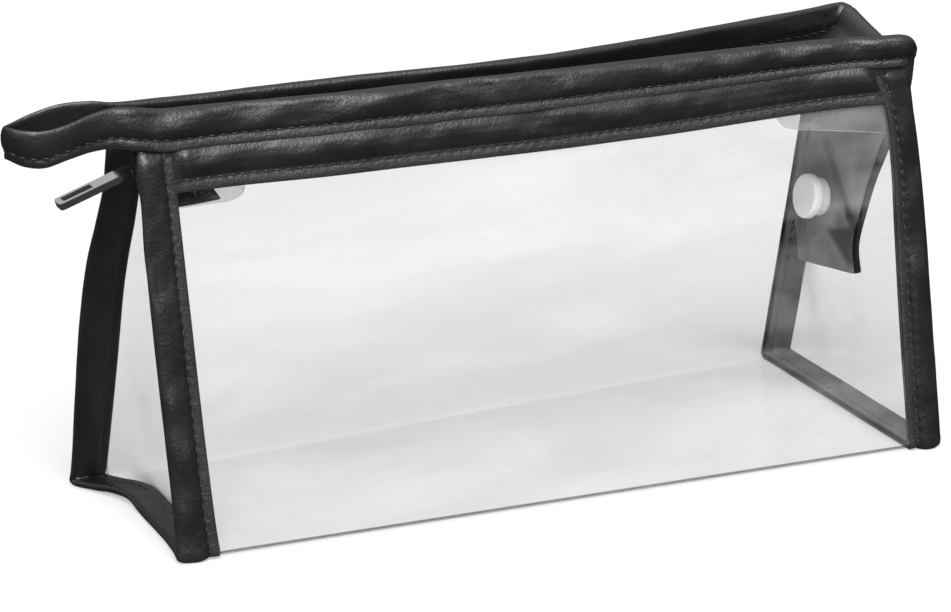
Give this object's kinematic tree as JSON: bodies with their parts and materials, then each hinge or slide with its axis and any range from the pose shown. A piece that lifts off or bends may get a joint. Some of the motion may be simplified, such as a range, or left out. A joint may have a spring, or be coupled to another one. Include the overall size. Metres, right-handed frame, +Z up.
{
  "type": "clear makeup bag",
  "caption": "Clear film prism-shaped makeup bag with black leather-look trim, a top zip between upright bands, a carry loop at one end and a fold-down snap tab at the other.",
  "frame": {"origin": "on the resting plane under the middle of the zip, midway between the two end bindings; the underside of the base film, which sags to that plane, carries the claim", "axes": "+X along the bag from the carry loop to the snap tab, +Y from the front panel to the back panel, +Z up"},
  "size_m": [0.2508, 0.085, 0.1126],
  "materials": {
    "clear_film": "clear, slightly hazy, soft gloss",
    "leather_trim": "black leather-look, fine grain, satin",
    "zip_tape": "woven black tape",
    "zip_coil": "black nylon coil",
    "polished_metal": "bright silver plating",
    "snap_plastic": "white moulded plastic",
    "thread": "black sewing thread"
  },
  "bodies": {
    "bag": {"body_film": "clear_film", "left_end_film": "clear_film", "right_end_film": "clear_film", "left_end_binding": "leather_trim", "right_end_binding": "leather_trim", "front_facing_band": "leather_trim", "back_facing_band": "leather_trim", "front_top_band": "leather_trim", "back_top_band": "leather_trim", "front_zip_tape": "zip_tape", "back_zip_tape": "zip_tape", "front_zip_coil": "zip_coil", "back_zip_coil": "zip_coil", "left_guard_flap": "clear_film", "right_guard_flap": "clear_film", "loop_anchor_patch": "leather_trim", "snap_inner_cap": "snap_plastic", "snap_stud": "snap_plastic", "front_facing_thread": "thread", "back_facing_thread": "thread", "front_top_thread": "thread", "back_top_thread": "thread", "left_binding_thread": "thread", "right_binding_thread": "thread"},
    "slider": {"zip_slider": "polished_metal"},
    "puller": {"zip_puller": "polished_metal"},
    "carry_loop": {"carry_loop": "leather_trim", "carry_loop_thread": "thread"},
    "tail_tab": {"tail_tab": "leather_trim", "tail_tab_lining": "leather_trim", "tail_tab_thread": "thread", "snap_socket": "snap_plastic", "snap_outer_cap": "snap_plastic"}
  },
  "joints": [
    {"name": "slider_slide", "type": "slide", "parent": "bag", "child": "slider", "axis": [1, 0, 0], "range_m": [0, 0.178], "deforming": ["front_zip_tape", "back_zip_tape", "front_zip_coil", "back_zip_coil"]},
    {"name": "puller_hinge", "type": "hinge", "parent": "slider", "child": "puller", "pos_m": [-0.1016, 0, 0.0984], "axis": [0, 1, 0], "range_deg": [0, 180]},
    {"name": "tab_hinge", "type": "hinge", "parent": "bag", "child": "tail_tab", "pos_m": [0.106, 0, 0.108], "axis": [0, -1, 0], "range_deg": [0, 110]},
    {"name": "loop_hinge", "type": "hinge", "parent": "bag", "child": "carry_loop", "pos_m": [-0.1124, 0.0008, 0.1077], "axis": [0, 1, 0], "range_deg": [-60, 40]}
  ]
}
